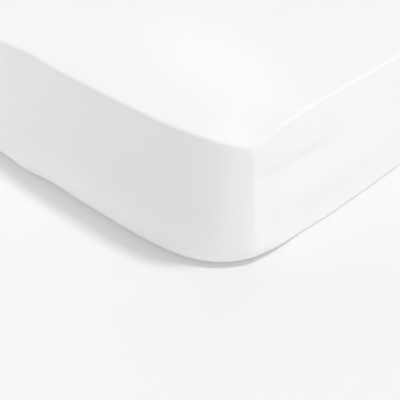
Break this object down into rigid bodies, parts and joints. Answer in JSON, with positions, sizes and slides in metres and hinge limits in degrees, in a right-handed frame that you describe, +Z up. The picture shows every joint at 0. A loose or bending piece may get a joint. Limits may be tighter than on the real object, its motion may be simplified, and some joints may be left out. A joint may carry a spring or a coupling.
{
  "type": "fitted sheet on a mattress",
  "caption": "Plain white fitted sheet stretched over a single mattress, with rounded corners, corner seams and an elastic hem tucked underneath.",
  "frame": {"origin": "middle of the underside, on the surface that it rests on", "axes": "+Z up, +Y along the length towards the head, +X across the width"},
  "size_m": [0.9026, 2.0048, 0.2],
  "materials": {
    "sheet_cloth": "plain white cotton weave, matt",
    "mattress_cover": "plain off-white woven mattress cover, matt"
  },
  "bodies": {
    "root": {"fitted_sheet": "sheet_cloth", "mattress": "mattress_cover"}
  },
  "joints": []
}
